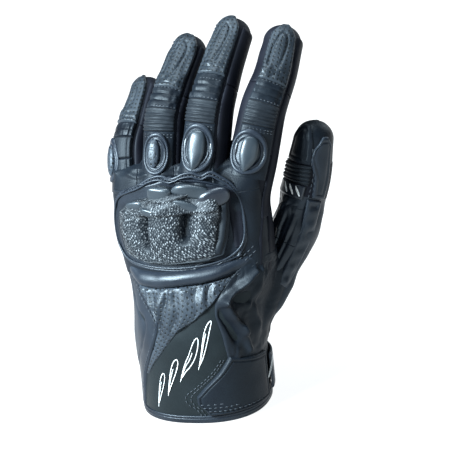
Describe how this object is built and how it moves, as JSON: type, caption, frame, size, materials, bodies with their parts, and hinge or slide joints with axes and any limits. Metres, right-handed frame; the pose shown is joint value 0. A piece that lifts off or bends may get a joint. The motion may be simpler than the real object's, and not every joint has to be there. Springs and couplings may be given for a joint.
{
  "type": "left motorcycle riding glove",
  "caption": "Short leather riding glove for the left hand, with hinged finger joints, a hard guard over the knuckles, padded finger backs and a swinging wrist strap.",
  "frame": {"origin": "middle of the cuff's opening, in the plane of the hem's flat lower rim, on which the glove stands upright", "axes": "+Z from the cuff's rim towards the fingertips, -Y out of the back of the hand, +Y out of the palm, +X towards the thumb"},
  "size_m": [0.1304, 0.107, 0.2174],
  "materials": {
    "outer_leather": "fine-grained black goat leather with a satin surface",
    "palm_leather": "matt black leather, slightly napped",
    "piping_leather": "smooth padded black leather with raised stitching",
    "satin_stretch": "satin black stretch cloth over thin neoprene, with a pale outlined mark",
    "perforated_leather": "perforated black leather, gathered",
    "finger_stretch": "dull black stretch panels and ribbed leather",
    "hard_guard": "carbon-look weave under a clear gloss coat",
    "hard_insert": "smooth glossy dark grey plastic",
    "lining": "soft dark grey knitted lining",
    "foam": "closed-cell foam",
    "hook_and_loop": "black hook-and-loop tape"
  },
  "bodies": {
    "cuff": {"cuff_hem": "piping_leather", "cuff_back": "satin_stretch", "cuff_palm": "outer_leather", "cuff_gusset": "satin_stretch", "cuff_lining": "lining", "strap_base": "piping_leather", "strap_loop": "hook_and_loop"},
    "strap": {"strap_tab": "piping_leather", "strap_hook": "hook_and_loop"},
    "hand": {"wrist_band": "perforated_leather", "hand_back": "outer_leather", "hand_palm": "palm_leather", "hand_lining": "lining", "finger_webs": "outer_leather", "guard_foam": "foam", "guard_shell": "hard_guard", "guard_frame": "piping_leather", "wrist_roll": "piping_leather", "outer_edge_pad": "piping_leather", "palm_patch": "palm_leather", "palm_grip": "palm_leather", "thumb_mound": "outer_leather", "thumb_gusset": "finger_stretch", "index_gusset": "finger_stretch", "middle_gusset": "finger_stretch", "ring_gusset": "finger_stretch", "little_gusset": "finger_stretch"},
    "thumb_proximal": {"thumb_sleeve": "outer_leather", "thumb_badge": "hard_insert", "thumb_crease": "finger_stretch"},
    "thumb_distal": {"thumb_tip": "outer_leather"},
    "index_proximal": {"index_base": "outer_leather", "index_pad": "hard_insert", "index_pad_frame": "piping_leather", "index_stretch": "finger_stretch"},
    "index_middle": {"index_mid": "outer_leather", "index_crease": "finger_stretch"},
    "index_distal": {"index_tip": "outer_leather"},
    "middle_proximal": {"middle_base": "outer_leather", "middle_pad": "hard_insert", "middle_pad_frame": "piping_leather", "middle_stretch": "finger_stretch"},
    "middle_middle": {"middle_mid": "outer_leather", "middle_crease": "finger_stretch"},
    "middle_distal": {"middle_tip": "outer_leather"},
    "ring_proximal": {"ring_base": "outer_leather", "ring_pad": "piping_leather", "ring_pad_frame": "piping_leather", "ring_stretch": "finger_stretch"},
    "ring_middle": {"ring_mid": "outer_leather", "ring_crease": "finger_stretch"},
    "ring_distal": {"ring_tip": "outer_leather"},
    "little_proximal": {"little_base": "outer_leather", "little_pad": "piping_leather", "little_pad_frame": "piping_leather", "little_stretch": "finger_stretch"},
    "little_middle": {"little_mid": "outer_leather", "little_crease": "finger_stretch"},
    "little_distal": {"little_tip": "outer_leather"}
  },
  "joints": [
    {"name": "wrist_flex", "type": "hinge", "parent": "cuff", "child": "hand", "pos_m": [0.0047, 0, 0.049], "axis": [-1, 0, 0], "range_deg": [-30, 20], "deforming": ["wrist_band"]},
    {"name": "strap_swing", "type": "hinge", "parent": "cuff", "child": "strap", "pos_m": [0.04285, 0.00311, 0.018], "axis": [0, 0, -1], "range_deg": [0, 110]},
    {"name": "thumb_base_joint", "type": "hinge", "parent": "hand", "child": "thumb_proximal", "pos_m": [0.05958, 0.03648, 0.09648], "axis": [-0.9185, 0.2184, 0.3295], "range_deg": [-10, 20], "deforming": ["thumb_gusset"]},
    {"name": "thumb_tip_joint", "type": "hinge", "parent": "thumb_proximal", "child": "thumb_distal", "pos_m": [0.06976, 0.04598, 0.12403], "axis": [-0.9559, 0.0522, 0.289], "range_deg": [-6, 35], "deforming": ["thumb_crease"]},
    {"name": "index_knuckle", "type": "hinge", "parent": "hand", "child": "index_proximal", "pos_m": [0.04016, 0.01622, 0.12694], "axis": [-0.9729, 0.0907, 0.2128], "range_deg": [-10, 45], "deforming": ["index_gusset"]},
    {"name": "index_middle_joint", "type": "hinge", "parent": "index_proximal", "child": "index_middle", "pos_m": [0.05206, 0.03488, 0.17342], "axis": [-0.9693, 0.0929, 0.2278], "range_deg": [-15, 55], "deforming": ["index_stretch"]},
    {"name": "index_tip_joint", "type": "hinge", "parent": "index_middle", "child": "index_distal", "pos_m": [0.05752, 0.05147, 0.18833], "axis": [-0.9829, 0.0836, 0.1644], "range_deg": [-7.5, 27.5], "deforming": ["index_crease"]},
    {"name": "middle_knuckle", "type": "hinge", "parent": "hand", "child": "middle_proximal", "pos_m": [0.01542, 0.01081, 0.13025], "axis": [-0.9907, 0.027, 0.1332], "range_deg": [-10, 45], "deforming": ["middle_gusset"]},
    {"name": "middle_middle_joint", "type": "hinge", "parent": "middle_proximal", "child": "middle_middle", "pos_m": [0.02227, 0.0306, 0.17723], "axis": [-0.9861, 0.0319, 0.1629], "range_deg": [-15, 55], "deforming": ["middle_stretch"]},
    {"name": "middle_tip_joint", "type": "hinge", "parent": "middle_middle", "child": "middle_distal", "pos_m": [0.02654, 0.04865, 0.19486], "axis": [-0.9771, 0.0393, 0.2091], "range_deg": [-7.5, 27.5], "deforming": ["middle_crease"]},
    {"name": "ring_knuckle", "type": "hinge", "parent": "hand", "child": "ring_proximal", "pos_m": [-0.00939, 0.01233, 0.12633], "axis": [-0.9982, 0.0311, 0.0506], "range_deg": [-10, 45], "deforming": ["ring_gusset"]},
    {"name": "ring_middle_joint", "type": "hinge", "parent": "ring_proximal", "child": "ring_middle", "pos_m": [-0.00646, 0.03193, 0.17206], "axis": [-0.9922, 0.0419, 0.1176], "range_deg": [-15, 55], "deforming": ["ring_stretch"]},
    {"name": "ring_tip_joint", "type": "hinge", "parent": "ring_middle", "child": "ring_distal", "pos_m": [-0.0025, 0.04851, 0.18688], "axis": [-0.9723, 0.059, 0.2262], "range_deg": [-7.5, 27.5], "deforming": ["ring_crease"]},
    {"name": "little_knuckle", "type": "hinge", "parent": "hand", "child": "little_proximal", "pos_m": [-0.03135, 0.01799, 0.11685], "axis": [-0.9972, 0.0294, -0.0694], "range_deg": [-10, 45], "deforming": ["little_gusset"]},
    {"name": "little_middle_joint", "type": "hinge", "parent": "little_proximal", "child": "little_middle", "pos_m": [-0.03325, 0.03694, 0.15221], "axis": [-0.9982, 0.0466, 0.0376], "range_deg": [-15, 55], "deforming": ["little_stretch"]},
    {"name": "little_tip_joint", "type": "hinge", "parent": "little_middle", "child": "little_distal", "pos_m": [-0.03018, 0.05024, 0.16547], "axis": [-0.9879, 0.0629, 0.1417], "range_deg": [-7.5, 27.5], "deforming": ["little_crease"]}
  ],
  "couplings": [
    {"joint": "index_tip_joint", "follows": "index_middle_joint", "ratio": 0.5},
    {"joint": "middle_tip_joint", "follows": "middle_middle_joint", "ratio": 0.5},
    {"joint": "ring_tip_joint", "follows": "ring_middle_joint", "ratio": 0.5},
    {"joint": "little_tip_joint", "follows": "little_middle_joint", "ratio": 0.5}
  ]
}
